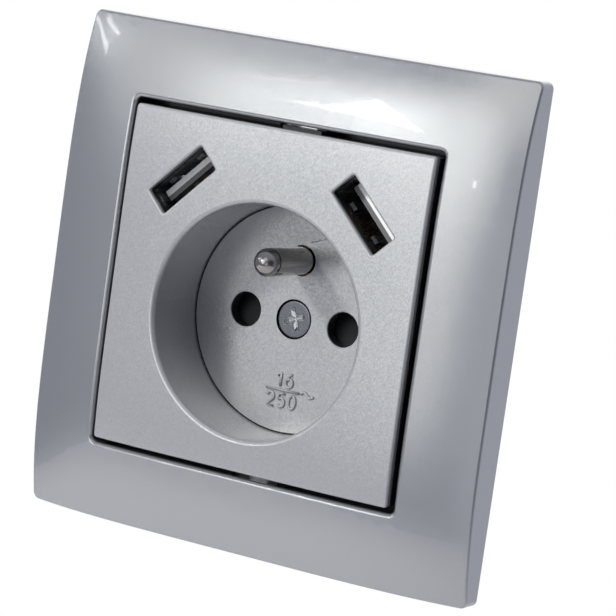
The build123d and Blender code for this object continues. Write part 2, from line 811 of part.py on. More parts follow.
# USB ports, drawn on planes whose Y runs away from the well
for name, side in sides:
    port_plane = Plane(
        origin=(side * port_side, 0, port_height),
        x_dir=(1, 0, -side * tan(radians(port_tilt))),
        z_dir=(0, -1, 0),
    )
    leaf_plane = Plane(port_plane.origin, x_dir=port_plane.y_dir, z_dir=port_plane.x_dir)

    with BuildPart() as bezel:
        with BuildSketch(port_plane.offset(-flange_front - bezel_depth)):
            Rectangle(2 * flange_half_length, 2 * flange_half_width)
        extrude(amount=bezel_depth)
        with BuildSketch(port_plane.offset(-flange_front)):
            Rectangle(slot_length + 2 * bezel_wall, slot_width + 2 * bezel_wall)
        extrude(amount=plate_crest + flange_front)
        add(pillow(plate_crest - slot_lip - hole_clearance), mode=Mode.INTERSECT)
        with BuildSketch(port_plane):
            RectangleRounded(slot_length, slot_width, slot_corner)
        extrude(amount=plate_crest, mode=Mode.SUBTRACT)
        with BuildSketch(port_plane):
            Rectangle(shell_width + 2 * hole_clearance, shell_height + 2 * hole_clearance)
        extrude(amount=hole_clearance - shell_front, mode=Mode.SUBTRACT)
    save(bezel, f"usb_bezel_{name}")

    with BuildPart() as shell:
        with BuildSketch(port_plane.offset(-board_front)):
            RectangleRounded(shell_width, shell_height, shell_corner)
            RectangleRounded(
                shell_width - 2 * shell_sheet,
                shell_height - 2 * shell_sheet,
                shell_corner - shell_sheet,
                mode=Mode.SUBTRACT,
            )
        extrude(amount=shell_length)
        # Windows in both broad walls, each with a leaf spring that dips inwards
        with BuildSketch(port_plane.offset(-leaf_back)):
            with GridLocations(leaf_spacing, 0, 2, 1):
                Rectangle(leaf_width + 2 * free_clearance, shell_height + 2 * shell_sheet)
        extrude(amount=leaf_length, mode=Mode.SUBTRACT)
        for place in (-leaf_spacing / 2, leaf_spacing / 2):
            with BuildSketch(leaf_plane.offset(place)):
                for wall in (-1, 1):
                    wall_middle = wall * (shell_height - shell_sheet) / 2
                    with BuildLine():
                        Polyline(
                            (wall_middle, -leaf_back),
                            (wall_middle - wall * leaf_dip, -leaf_front - leaf_dip - shell_sheet),
                            (wall_middle, -leaf_front - shell_sheet),
                        )
                    trace(line_width=shell_sheet)
            extrude(amount=leaf_width / 2, both=True)
    save(shell, f"usb_shell_{name}")

    with BuildPart() as tongue:
        with BuildSketch(port_plane.offset(-board_front)):
            RectangleRounded(
                shell_width - 2 * (shell_sheet + hole_clearance),
                shell_height - 2 * (shell_sheet + hole_clearance),
                shell_corner - shell_sheet,
            )
        extrude(amount=tongue_block)
        with BuildSketch(port_plane.offset(-block_front)):
            with Locations((0, tongue_face)):
                Rectangle(tongue_width, tongue_thickness, align=(Align.CENTER, Align.MIN))
        extrude(amount=block_front - tongue_front)
        with BuildSketch(port_plane.offset(-board_front)):
            with Locations(*[(place, strip_middle) for place in strip_places]):
                Rectangle(strip_width + 2 * hole_clearance, strip_thickness)
        extrude(amount=tongue_block, mode=Mode.SUBTRACT)
    save(tongue, f"usb_tongue_{name}")

    with BuildPart() as strips:
        with BuildSketch(port_plane.offset(-board_back)):
            with Locations(*[(place, strip_middle) for place in strip_places]):
                Rectangle(strip_width, strip_thickness)
        extrude(amount=board_back - strip_front)
    save(strips, f"usb_contacts_{name}")

# Circuit board and what it carries
with BuildPart() as usb_board:
    with BuildSketch(level(board_back)):
        RectangleRounded(
            base_side - 2 * board_margin,
            base_side - 2 * board_margin,
            base_corner - board_margin,
        )
        with Locations((0, board_bottom)):
            Rectangle(base_side, base_side, align=(Align.CENTER, Align.MAX), mode=Mode.SUBTRACT)
        with Locations((0, top_post_foot - board_margin)):
            Rectangle(
                top_ear_width + 2 * board_margin,
                base_side,
                align=(Align.CENTER, Align.MIN),
                mode=Mode.SUBTRACT,
            )
        with Locations((0, board_screw_height)):
            with GridLocations(board_screw_spacing, 0, 2, 1):
                Circle(board_screw_diameter / 2 + hole_clearance, mode=Mode.SUBTRACT)
    extrude(amount=board_thickness)
    for _, side in sides:
        with BuildSketch(level(board_back)):
            with Locations(Location((side * port_side, port_height, 0), (0, 0, -port_tilt * side))):
                with Locations(*[(place, strip_middle) for place in strip_places]):
                    Rectangle(strip_width + 2 * hole_clearance, strip_thickness + 2 * hole_clearance)
        extrude(amount=board_thickness, mode=Mode.SUBTRACT)
save(usb_board, "usb_board")

with BuildPart() as board_screws:
    with BuildSketch(level(board_front)):
        with Locations((0, board_screw_height)):
            with GridLocations(board_screw_spacing, 0, 2, 1):
                Circle(board_screw_head / 2)
    extrude(amount=board_screw_head_height)
    with BuildSketch(level(board_front + board_screw_length)):
        with Locations((0, board_screw_height)):
            with GridLocations(board_screw_spacing, 0, 2, 1):
                Circle(board_screw_diameter / 2)
    extrude(amount=board_screw_length)
save(board_screws, "board_screws")

core_window = (core_width - core_middle_leg) / 2 - core_leg
with BuildPart() as transformer_core:
    with BuildSketch(level(board_back + core_length)):
        with Locations((-core_side, core_place)):
            Rectangle(core_width, core_height)
    extrude(amount=core_length)
    with BuildSketch(Plane.XY.offset(core_place)):
        with Locations((-core_side, board_back + core_length / 2)):
            with GridLocations(core_middle_leg + core_window, 0, 2, 1):
                Rectangle(core_window, core_length - 2 * core_leg)
    extrude(amount=core_height / 2, both=True, mode=Mode.SUBTRACT)
save(transformer_core, "transformer_core")

with BuildPart() as transformer_winding:
    with BuildSketch(Plane.XY.offset(core_place - core_height / 2 - winding_bulge)):
        with Locations((-core_side, board_back + core_length / 2)):
            Rectangle(
                core_middle_leg + 2 * (core_window - hole_clearance),
                core_length - 2 * (core_leg + hole_clearance),
            )
    extrude(amount=core_height + 2 * winding_bulge)
    fillet(transformer_winding.edges().filter_by(Axis.Y), winding_round)
    with BuildSketch(level(board_back + core_length)):
        with Locations((-core_side, core_place)):
            Rectangle(core_middle_leg + 2 * hole_clearance, core_height + 2 * hole_clearance)
    extrude(amount=core_length, mode=Mode.SUBTRACT)
save(transformer_winding, "transformer_winding")

with BuildPart() as capacitors:
    for diameter, length, wall_gap, rise in (tall_capacitor, small_capacitor):
        with BuildSketch(level(board_back + length)):
            with Locations((base_inner_side / 2 - wall_gap, board_bottom + rise)):
                Circle(diameter / 2)
        extrude(amount=length)
    chamfer(capacitors.edges().filter_by(GeomType.CIRCLE), capacitor_chamfer)
save(capacitors, "capacitors")

# Mounting ring with ears for the base screws and the claws
with BuildPart() as mounting_ring:
    with BuildSketch(level(0)):
        RectangleRounded(ring_side, ring_side, ring_corner)
        RectangleRounded(aperture_side, aperture_side, aperture_corner, mode=Mode.SUBTRACT)
        with GridLocations(aperture_side, 0, 2, 1):
            Rectangle(aperture_side - 2 * (well_outer + side_ear_gap), side_ear_height)
        with Locations((0, strap_leg_height)):
            Rectangle(
                top_ear_width,
                aperture_side / 2 + ring_thickness - strap_leg_height,
                align=(Align.CENTER, Align.MIN),
            )
        with Locations(*ring_screw_places[:2]):
            Circle(post_radius)
        with Locations(*ring_screw_places):
            Circle(ring_screw_diameter / 2 + hole_clearance, mode=Mode.SUBTRACT)
        with GridLocations(0, box_screw_spacing, 1, 2):
            SlotOverall(box_slot_length, box_slot_width, rotation=90, mode=Mode.SUBTRACT)
        with GridLocations(2 * claw_screw_side, 0, 2, 1):
            Circle(claw_screw_diameter / 2 + hole_clearance, mode=Mode.SUBTRACT)
    extrude(amount=ring_thickness)
    with BuildSketch(level(claw_back)):
        with GridLocations(2 * claw_pivot_side, 2 * claw_ear_place, 2, 2):
            Rectangle(2 * claw_barrel, claw_ear_thickness)
    extrude(amount=claw_back)
    with BuildSketch(Plane.XY):
        with Locations((0, claw_pivot_depth)):
            with GridLocations(2 * claw_pivot_side, 0, 2, 1):
                Circle(claw_pin_radius + running_clearance)
    extrude(amount=claw_width, both=True, mode=Mode.SUBTRACT)
save(mounting_ring, "mounting_ring")

with BuildPart() as ring_screws:
    with BuildSketch(level(-ring_thickness)):
        with Locations(*ring_screw_places):
            Circle(ring_screw_head / 2)
    extrude(amount=ring_screw_head_height)
    with BuildSketch(level(-ring_thickness - ring_screw_head_height + cross_depth)):
        with Locations(*ring_screw_places):
            Rectangle(cross_length, cross_width)
            Rectangle(cross_width, cross_length)
    extrude(amount=cross_depth, mode=Mode.SUBTRACT)
    with BuildSketch(level(ring_screw_length - ring_thickness)):
        with Locations(*ring_screw_places):
            Circle(ring_screw_diameter / 2)
    extrude(amount=ring_screw_length)
save(ring_screws, "ring_screws")

# Spreader claws, each with its pivot pin and the screw that drives it
for name, side in sides:
    tip_side = claw_pivot_side - claw_lean + claw_tip
    tip_depth = claw_pivot_depth + claw_reach + claw_tip_drop
    with BuildPart() as claw:
        with BuildSketch(Plane.XY):
            with BuildLine():
                Polyline(
                    (side * (claw_screw_side - claw_arm_end), claw_pivot_depth),
                    (side * claw_pivot_side, claw_pivot_depth),
                    (side * (claw_pivot_side - claw_lean), claw_pivot_depth + claw_reach),
                    (side * tip_side, tip_depth),
                )
            trace(line_width=claw_sheet)
            with Locations((side * claw_pivot_side, claw_pivot_depth)):
                Circle(claw_barrel)
                Circle(claw_pin_radius + running_clearance, mode=Mode.SUBTRACT)
        extrude(amount=claw_width / 2, both=True)
        with BuildSketch(level(tip_depth + claw_sheet)):
            with Locations((side * tip_side, 0)):
                with GridLocations(0, claw_width / (claw_tooth_count - 1), 1, claw_tooth_count):
                    Rectangle(claw_tooth, claw_tooth, rotation=45)
        extrude(amount=2 * claw_sheet, mode=Mode.SUBTRACT)
    save(claw, f"claw_{name}")

    pin_half = claw_ear_place + claw_ear_thickness / 2
    with BuildPart() as pivot_pin:
        with BuildSketch(Plane.XY.offset(-pin_half)):
            with Locations((side * claw_pivot_side, claw_pivot_depth)):
                Circle(claw_pin_radius)
        extrude(amount=2 * pin_half)
        with BuildSketch(Plane.XY.offset(-pin_half - claw_pin_head_height), Plane.XY.offset(pin_half)):
            with Locations((side * claw_pivot_side, claw_pivot_depth)):
                Circle(claw_pin_head)
        extrude(amount=claw_pin_head_height)
    save(pivot_pin, f"claw_pin_{name}")

    with BuildPart() as drive_screw:
        with BuildSketch(level(claw_screw_end)):
            with Locations((side * claw_screw_side, 0)):
                Circle(claw_screw_diameter / 2)
        extrude(amount=claw_screw_end - claw_head_back)
        chamfer(drive_screw.edges().sort_by(Axis.Y)[-1], claw_screw_diameter / 2 - claw_screw_tip)
        with BuildSketch(level(claw_head_back)):
            with Locations((side * claw_screw_side, 0)):
                Circle(claw_screw_head / 2)
        extrude(amount=claw_screw_head_height)
        with BuildSketch(level(claw_head_back - claw_screw_head_height + driver_slot)):
            with Locations((side * claw_screw_side, 0)):
                Rectangle(driver_slot, claw_screw_head)
        extrude(amount=driver_slot, mode=Mode.SUBTRACT)
    save(drive_screw, f"claw_screw_{name}")
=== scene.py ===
"""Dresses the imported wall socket: finishes, fine moulded and turned detail, studio and camera."""

import logging
import math
from collections.abc import Sequence
from dataclasses import dataclass
from enum import Enum

import bpy
from mathutils import Matrix, Vector


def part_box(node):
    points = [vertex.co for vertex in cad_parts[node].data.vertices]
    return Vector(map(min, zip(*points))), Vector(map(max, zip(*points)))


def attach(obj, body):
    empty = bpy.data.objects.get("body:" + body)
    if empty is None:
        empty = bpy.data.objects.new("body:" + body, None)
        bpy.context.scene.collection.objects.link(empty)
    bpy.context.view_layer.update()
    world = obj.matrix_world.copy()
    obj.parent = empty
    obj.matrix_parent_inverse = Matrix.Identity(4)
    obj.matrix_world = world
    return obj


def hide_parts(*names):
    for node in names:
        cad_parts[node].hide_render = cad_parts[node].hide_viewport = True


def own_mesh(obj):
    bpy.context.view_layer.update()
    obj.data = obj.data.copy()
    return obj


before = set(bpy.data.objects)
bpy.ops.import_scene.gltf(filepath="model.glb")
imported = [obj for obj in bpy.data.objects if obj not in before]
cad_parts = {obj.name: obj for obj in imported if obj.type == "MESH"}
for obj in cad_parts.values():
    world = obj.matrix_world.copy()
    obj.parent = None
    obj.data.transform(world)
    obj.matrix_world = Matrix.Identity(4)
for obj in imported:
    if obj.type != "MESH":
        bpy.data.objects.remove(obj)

LOG = logging.getLogger("wall_socket")
MM = 0.001
IMAGE_SIDE = 616
ROOT_BODY = "socket"
LEFT_SCREW_BODY = "left_claw_screw"
RIGHT_SCREW_BODY = "right_claw_screw"
WHITE = (1.0, 1.0, 1.0, 1.0)

Triple = tuple[float, float, float]
Colour = Triple
Pair = tuple[float, float]
Face = tuple[int, ...]
Node = bpy.types.Node
Socket = bpy.types.NodeSocket
Piece = bpy.types.Object


class Slot(Enum):
    """Material slots that the record names, and the centre screw's plating and the painted highlight
    in its recess.
    """

    FRAME = "frame_silver"
    PLATE = "plate_silver"
    NICKEL = "nickel"
    SCREW = "screw_plating"
    WORN = "screw_recess_highlight"
    PORT = "port_black"
    SHELL = "usb_steel"
    TONGUE = "tongue_grey"
    GOLD = "contact_gold"
    SHUTTER = "shutter_black"
    SPRING = "spring_steel"
    INSULATOR = "insulator_black"
    BASE = "base_grey"
    BRASS = "brass"
    ZINC = "zinc"
    BOARD = "board_green"
    FERRITE = "ferrite"
    TAPE = "tape_yellow"
    SLEEVE = "sleeve_black"


def shade(colour: Colour, factor: float) -> Colour:
    """Returns a colour made lighter or darker."""
    return tuple(min(1.0, channel * factor) for channel in colour)


class Graph:
    """A node tree that is filled one node at a time."""

    def __init__(self, tree: bpy.types.NodeTree) -> None:
        """Takes a tree and empties it."""
        self.tree = tree
        self.tree.nodes.clear()

    def add(self, kind: str, sockets: dict | None = None, **settings: object) -> Node:
        """Adds a node and feeds its inputs.

        Args:
            kind: Blender's name for the node, without its common prefix.
            sockets: Input name or number against a constant or another node's output.
            settings: Attributes of the node itself.

        Returns:
            The new node.
        """
        node = self.tree.nodes.new("ShaderNode" + kind)
        for name, value in settings.items():
            setattr(node, name, value)
        self.feed(node, sockets or {})
        return node

    def feed(self, node: Node, sockets: dict) -> None:
        """Sets or links a node's inputs.

        Args:
            node: Node to feed.
            sockets: Input name or number against a constant or another node's output.
        """
        for key, value in sockets.items():
            if isinstance(value, Socket):
                self.tree.links.new(value, node.inputs[key])
            else:
                node.inputs[key].default_value = value

    def place(self) -> Socket:
        """Returns the spot's place in metres, in the shared frame."""
        return self.add("TexCoord").outputs["Object"]

    def split(self, vector: Socket) -> bpy.types.NodeOutputs:
        """Returns a vector's three parts, named X, Y and Z."""
        return self.add("SeparateXYZ", {0: vector}).outputs

    def math(self, operation: str, *values: object) -> Socket:
        """Returns the result of a sum on numbers or outputs."""
        return self.add("Math", dict(enumerate(values)), operation=operation).outputs[0]

    def vector(self, operation: str, *values: object) -> Socket:
        """Returns the result of a sum on vectors that gives a vector."""
        return self.add("VectorMath", dict(enumerate(values)), operation=operation).outputs["Vector"]

    def measure(self, operation: str, *values: object) -> Socket:
        """Returns the result of a sum on vectors that gives a number."""
        return self.add("VectorMath", dict(enumerate(values)), operation=operation).outputs["Value"]

    def ramp(self, value: Socket, low: Colour, high: Colour) -> Socket:
        """Returns a colour between two constant ones.

        Args:
            value: Number from 0 to 1 that chooses the colour.
            low: Colour at 0.
            high: Colour at 1.

        Returns:
            The chosen colour.
        """
        node = self.add("ValToRGB", {"Fac": value})
        node.color_ramp.elements[0].color = (*low, 1.0)
        node.color_ramp.elements[1].color = (*high, 1.0)
        return node.outputs["Color"]

    def blend(self, share: Socket, first: Socket, second: tuple) -> Socket:
        """Returns a colour between an output and a constant one."""
        sockets = {"Factor": share, "A": first, "B": second}
        return self.add("Mix", sockets, data_type="RGBA").outputs["Result"]

    def spread(self, value: Socket, low: float, high: float) -> Socket:
        """Returns a number from 0 to 1 stretched to another span."""
        return self.add("MapRange", {"Value": value, "To Min": low, "To Max": high}).outputs["Result"]

    def step(self, value: Socket, low: float, high: float) -> Socket:
        """Returns a smooth rise from 0 to 1 between two values."""
        sockets = {"Value": value, "From Min": low, "From Max": high}
        return self.add("MapRange", sockets, interpolation_type="SMOOTHSTEP").outputs["Result"]

    def vary(self, value: Socket, middle: float, share: float) -> Socket:
        """Returns a number that varies by a share to both sides of its middle."""
        return self.spread(value, middle * (1 - share), middle * (1 + share))

    def tint(self, value: Socket, colour: Colour, share: float) -> Socket:
        """Returns a colour that varies by a share to both sides of its own tone."""
        return self.ramp(value, shade(colour, 1 - share), shade(colour, 1 + share))

    def bump(self, height: Socket, distance: float) -> Socket:
        """Returns the normal of a surface that a pattern raises."""
        return self.add("Bump", {"Height": height, "Distance": distance}).outputs["Normal"]

    def noise(self, size: float, detail: float = 2.0, stretch: Triple = (1.0, 1.0, 1.0)) -> Socket:
        """Returns a soft random pattern.

        Args:
            size: Width of its spots in metres.
            detail: Number of finer layers.
            stretch: Scale along each axis, where a small one draws the spots out.

        Returns:
            The pattern's value, from 0 to 1.
        """
        drawn = self.vector("MULTIPLY", self.place(), stretch)
        texture = self.add("TexNoise", {"Vector": drawn, "Scale": 1 / size, "Detail": detail})
        return texture.outputs["Fac"]


class Finish:
    """What every finish shares: a material with one main shader."""

    def material(self, name: str) -> bpy.types.Material:
        """Makes the finish's material.

        Args:
            name: Name of the slot that wears it.

        Returns:
            The new material.
        """
        material = bpy.data.materials.new(name)
        material.use_nodes = True
        graph = Graph(material.node_tree)
        shader = graph.add("BsdfPrincipled")
        graph.add("OutputMaterial", {"Surface": shader.outputs[0]})
        graph.feed(shader, self.sockets(graph))
        return material

    def sockets(self, graph: Graph) -> dict[str, object]:
        """Returns what the main shader's inputs get; each finish has its own."""
        raise NotImplementedError


@dataclass(frozen=True)
class BareAndShade:
    """Where a sprayed moulding stays unpainted: its back, its gap wall and below the well floor; its
    near-black also paints the shade deep in the gap and in the bores.
    """

    crest: float
    gap_side: float
    inside: bool
    painted_edge: float
    deepest: float
    fall: float = 3.1 * MM
    half: float = 42.8 * MM
    power: float = 4.0
    back_facing: float = 0.4
    # Near-black plastic, dark enough to paint the shade deep in the gap and in the bores
    colour: Colour = (0.016, 0.017, 0.019)

    def mask(self, graph: Graph) -> Socket:
        """Finds the unpainted places, which also carry painted shade.

        Args:
            graph: Tree to fill.

        Returns:
            1 where the paint is missing and 0 elsewhere.
        """
        place = graph.split(graph.place())
        facing = graph.split(graph.add("TexCoord").outputs["Normal"])
        across = graph.math("ABSOLUTE", place["X"])
        up = graph.math("ABSOLUTE", place["Z"])
        face = graph.math("ADD", self.sink(graph, across), self.sink(graph, up))
        below = graph.math("SUBTRACT", graph.math("ADD", place["Y"], self.crest), face)
        order = "LESS_THAN" if self.inside else "GREATER_THAN"
        in_gap = graph.math(order, graph.math("MAXIMUM", across, up), self.gap_side)
        wall = graph.math("MULTIPLY", in_gap, graph.math("GREATER_THAN", below, self.painted_edge))
        back = graph.math("GREATER_THAN", facing["Y"], self.back_facing)
        deep = graph.math("GREATER_THAN", place["Y"], self.deepest)
        return graph.math("MAXIMUM", wall, graph.math("MAXIMUM", back, deep))

    def sink(self, graph: Graph, side: Socket) -> Socket:
        """Returns how far the pillowed face has fallen at a distance from its middle."""
        share = graph.math("DIVIDE", side, self.half)
        return graph.math("MULTIPLY", graph.math("POWER", share, self.power), self.fall)


@dataclass(frozen=True)
class SilverPaint(Finish):
    """Metal-flake paint on plastic, with or without a gloss coat."""

    colour: Colour
    roughness: float
    flake: float
    sparkle: float
    tilt: float
    coat: float
    coat_roughness: float
    metal: float
    bare_and_shade: BareAndShade
    cloud: float = 9.0 * MM
    cloud_share: float = 0.06

    def sockets(self, graph: Graph) -> dict[str, object]:
        """Tilts and tints each flake at random under a smooth coat.

        Args:
            graph: Tree to fill.

        Returns:
            Input name against a constant or an output.
        """
        flakes = graph.add("TexVoronoi", {"Vector": graph.place(), "Scale": 1 / self.flake})
        pick = flakes.outputs["Color"]
        lean = graph.vector("SUBTRACT", pick, (0.5, 0.5, 0.5))
        lean = graph.vector("MULTIPLY", lean, (self.tilt, self.tilt, self.tilt))
        straight = graph.add("NewGeometry").outputs["Normal"]
        paint = graph.tint(graph.split(pick)["X"], self.colour, self.sparkle)
        # Unpainted places get the near-black, which also paints the shade in the gap and the bores
        bare_and_shade = self.bare_and_shade.mask(graph)
        return {
            "Base Color": graph.blend(bare_and_shade, paint, (*self.bare_and_shade.colour, 1.0)),
            "Metallic": graph.spread(bare_and_shade, self.metal, 0.0),
            "Roughness": graph.vary(graph.noise(self.cloud), self.roughness, self.cloud_share),
            "Normal": graph.vector("NORMALIZE", graph.vector("ADD", straight, lean)),
            "Coat Weight": graph.spread(bare_and_shade, self.coat, 0.0),
            "Coat Roughness": self.coat_roughness,
        }


@dataclass(frozen=True)
class Moulding(Finish):
    """Moulded plastic with a faint mottle and a fine grain."""

    colour: Colour
    roughness: float
    spot: float = 3.0 * MM
    mottle: float = 0.06
    grain: float = 0.25 * MM
    depth: float = 0.004 * MM

    def sockets(self, graph: Graph) -> dict[str, object]:
        """Mottles the colour and roughens the surface a little.

        Args:
            graph: Tree to fill.

        Returns:
            Input name against a constant or an output.
        """
        return {
            "Base Color": graph.tint(graph.noise(self.spot), self.colour, self.mottle),
            "Roughness": self.roughness,
            "Normal": graph.bump(graph.noise(self.grain), self.depth),
        }


@dataclass(frozen=True)
class TongueWithPaintedShade(Finish):
    """Moulded pale port tongue, with painted shade on its lower, contact side."""

    pale: Colour
    dark: Colour
    border: float
    roughness: float
    blur: float = 0.04 * MM
    grain: float = 0.2 * MM
    depth: float = 0.004 * MM

    def sockets(self, graph: Graph) -> dict[str, object]:
        """Changes from painted shade to the pale tone with the distance from the well, which both
        tilted ports share.

        Args:
            graph: Tree to fill.

        Returns:
            Input name against a constant or an output.
        """
        place = graph.split(graph.place())
        reach = graph.math("ADD", graph.math("ABSOLUTE", place["X"]), place["Z"])
        start = (self.border - self.blur) * math.sqrt(2)
        end = (self.border + self.blur) * math.sqrt(2)
        return {
            "Base Color": graph.ramp(graph.step(reach, start, end), self.dark, self.pale),
            "Roughness": self.roughness,
            "Normal": graph.bump(graph.noise(self.grain), self.depth),
        }


@dataclass(frozen=True)
class Metal(Finish):
    """Uncoated or plated metal with drawing marks along one axis."""

    colour: Colour
    roughness: float
    stretch: Triple = (1.0, 0.08, 1.0)
    mark: float = 0.3 * MM
    detail: float = 3.0
    mottle: float = 0.08
    rough_share: float = 0.15
    depth: float = 0.003 * MM

    def sockets(self, graph: Graph) -> dict[str, object]:
        """Draws the marks into the colour, the roughness and the surface.

        Args:
            graph: Tree to fill.

        Returns:
            Input name against a constant or an output.
        """
        marks = graph.noise(self.mark, self.detail, self.stretch)
        return {
            "Base Color": graph.tint(marks, self.colour, self.mottle),
            "Metallic": 1.0,
            "Roughness": graph.vary(marks, self.roughness, self.rough_share),
            "Normal": graph.bump(marks, self.depth),
        }


@dataclass(frozen=True)
class TurnedMetal(Finish):
    """Plated turned metal with fine lathe rings and a turned line at one depth, darkened as painted
    shade.
    """

    colour: Colour
    roughness: float
    line_depth: float
    line_width: float
    line_core: float = 0.4
    groove_shade_tone: float = 0.12
    ring: float = 0.05 * MM
    ring_stretch: Triple = (0.02, 1.0, 0.02)
    ring_share: float = 0.2
    cloud: float = 1.2 * MM
    mottle: float = 0.1
    rough_share: float = 0.15
    depth: float = 0.0015 * MM

    def sockets(self, graph: Graph) -> dict[str, object]:
        """Draws rings across the turning axis, sinks the line and darkens it as painted shade.

        Args:
            graph: Tree to fill.

        Returns:
            Input name against a constant or an output.
        """
        rings = graph.noise(self.ring, stretch=self.ring_stretch)
        clouds = graph.noise(self.cloud)
        deep = graph.split(graph.place())["Y"]
        off = graph.math("ABSOLUTE", graph.math("SUBTRACT", deep, self.line_depth))
        line = graph.step(off, self.line_width, self.line_core * self.line_width)
        plain = graph.tint(clouds, self.colour, self.mottle)
        height = graph.math("SUBTRACT", graph.math("MULTIPLY", rings, self.ring_share), line)
        return {
            # The line's near-black tone is painted shade in the groove
            "Base Color": graph.blend(line, plain, (*shade(self.colour, self.groove_shade_tone), 1.0)),
            "Metallic": 1.0,
            "Roughness": graph.vary(clouds, self.roughness, self.rough_share),
            "Normal": graph.bump(height, self.depth),
        }


@dataclass(frozen=True)
class SolderMask(Finish):
    """Circuit board lacquer over a pattern of copper runs."""

    colour: Colour
    roughness: float = 0.35
    run: float = 1.6 * MM
    run_tone: float = 1.5
    gap_tone: float = 0.7
    depth: float = 0.03 * MM

    def sockets(self, graph: Graph) -> dict[str, object]:
        """Lightens the lacquer over the copper runs.

        Args:
            graph: Tree to fill.

        Returns:
            Input name against a constant or an output.
        """
        sockets = {"Vector": graph.place(), "Scale": 1 / self.run}
        runs = graph.add("TexVoronoi", sockets, distance="MANHATTAN").outputs["Distance"]
        over = shade(self.colour, self.run_tone)
        between = shade(self.colour, self.gap_tone)
        return {
            "Base Color": graph.ramp(runs, over, between),
            "Roughness": self.roughness,
            "Normal": graph.bump(runs, self.depth),
        }


FRAME_PAINT = SilverPaint(
    colour=(0.46, 0.465, 0.475),
    roughness=0.26,
    flake=0.13 * MM,
    sparkle=0.035,
    tilt=0.025,
    coat=1.0,
    coat_roughness=0.03,
    metal=0.88,
    bare_and_shade=BareAndShade(
        crest=9.6 * MM,
        gap_side=29.7 * MM,
        inside=True,
        painted_edge=1.0 * MM,
        deepest=20.0 * MM,
    ),
)
PLATE_PAINT = SilverPaint(
    colour=(0.445, 0.45, 0.455),
    roughness=0.25,
    flake=0.14 * MM,
    sparkle=0.07,
    tilt=0.08,
    coat=0.2,
    coat_roughness=0.25,
    metal=0.6,
    bare_and_shade=BareAndShade(
        crest=10.2 * MM,
        gap_side=28.5 * MM,
        inside=False,
        painted_edge=1.3 * MM,
        deepest=3.4 * MM,
    ),
)
PIN_NICKEL = TurnedMetal(
    colour=(0.40, 0.385, 0.36),
    roughness=0.06,
    line_depth=-7.75 * MM,
    line_width=0.28 * MM,
)
TONGUE_PLASTIC = TongueWithPaintedShade(
    pale=(0.80, 0.80, 0.79),
    # Painted shade on the tongue's lower side
    dark=(0.13, 0.13, 0.13),
    border=25.0 * MM,
    roughness=0.4,
)
FINISHES: dict[Slot, Finish] = {
    Slot.FRAME: FRAME_PAINT,
    Slot.PLATE: PLATE_PAINT,
    Slot.NICKEL: PIN_NICKEL,
    Slot.SCREW: Metal(colour=(0.23, 0.24, 0.255), roughness=0.26),
    # Bright metal in the screw's recess, a painted highlight on its facets
    Slot.WORN: Metal(colour=(0.66, 0.67, 0.68), roughness=0.2),
    Slot.PORT: Moulding(colour=(0.012, 0.012, 0.013), roughness=0.42),
    Slot.SHELL: Metal(colour=(0.50, 0.50, 0.51), roughness=0.28),
    Slot.TONGUE: TONGUE_PLASTIC,
    Slot.GOLD: Metal(colour=(0.83, 0.62, 0.26), roughness=0.22),
    Slot.SHUTTER: Moulding(colour=(0.010, 0.010, 0.012), roughness=0.5),
    Slot.SPRING: Metal(colour=(0.52, 0.52, 0.53), roughness=0.25),
    Slot.INSULATOR: Moulding(colour=(0.02, 0.02, 0.022), roughness=0.5),
    Slot.BASE: Moulding(colour=(0.34, 0.35, 0.36), roughness=0.5),
    # Brass darkened well below its own tone everywhere, a painted shade for the strap seen in the gap
    # round the earth pin
    Slot.BRASS: Metal(colour=(0.33, 0.235, 0.10), roughness=0.36),
    Slot.ZINC: Metal(colour=(0.60, 0.61, 0.62), roughness=0.34, stretch=(1.0, 1.0, 0.1)),
    Slot.BOARD: SolderMask(colour=(0.03, 0.20, 0.08)),
    Slot.FERRITE: Moulding(colour=(0.045, 0.042, 0.042), roughness=0.7),
    Slot.TAPE: Moulding(colour=(0.75, 0.52, 0.06), roughness=0.4),
    Slot.SLEEVE: Moulding(colour=(0.02, 0.022, 0.03), roughness=0.3),
}


class Wardrobe:
    """Makes each slot's material once and puts it on the pieces."""

    def __init__(self) -> None:
        """Makes all materials."""
        self.materials = {slot: finish.material(slot.value) for slot, finish in FINISHES.items()}

    def dress_nodes(self) -> None:
        """Puts the materials on the CAD nodes by the slots that they carry."""
        for name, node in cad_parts.items():
            for place, old in enumerate(node.data.materials):
                slot = Slot(old.name.split(".")[0])
                node.data.materials[place] = self.materials[slot]
            LOG.info("dressed %s", name)

    def put_on(self, piece: Piece, slot: Slot, recorded: Slot | None = None) -> None:
        """Puts one slot's material on an added piece.

        Args:
            piece: The added piece.
            slot: The slot whose material the piece wears.
            recorded: The record's slot for the piece, where it is another one; it is not used.
        """
        piece.data.materials.clear()
        piece.data.materials.append(self.materials[slot])


def add_mesh(name: str, points: Sequence, faces: Sequence[Face], smooth: bool = True) -> Piece:
    """Adds a mesh object to the scene.

    Args:
        name: Name of the piece.
        points: Corners in metres.
        faces: Corner numbers of each face.
        smooth: Whether its faces are shaded smooth.

    Returns:
        The new object.
    """
    mesh = bpy.data.meshes.new(name)
    mesh.from_pydata([tuple(point) for point in points], [], faces)
    mesh.polygons.foreach_set("use_smooth", [smooth] * len(mesh.polygons))
    mesh.update()
    piece = bpy.data.objects.new(name, mesh)
    bpy.context.scene.collection.objects.link(piece)
    return piece


def ring_faces(rings: int, sides: int) -> list[Face]:
    """Returns the faces of a skin over rings of points, closed at both ends.

    Args:
        rings: Number of rings.
        sides: Number of points in each ring.

    Returns:
        Corner numbers of each face.
    """
    faces = []
    for ring in range(rings - 1):
        for side in range(sides):
            first = ring * sides + side
            second = ring * sides + (side + 1) % sides
            faces.append((first, second, second + sides, first + sides))
    last = (rings - 1) * sides
    faces.append(tuple(reversed(range(sides))))
    faces.append(tuple(range(last, last + sides)))
    return faces


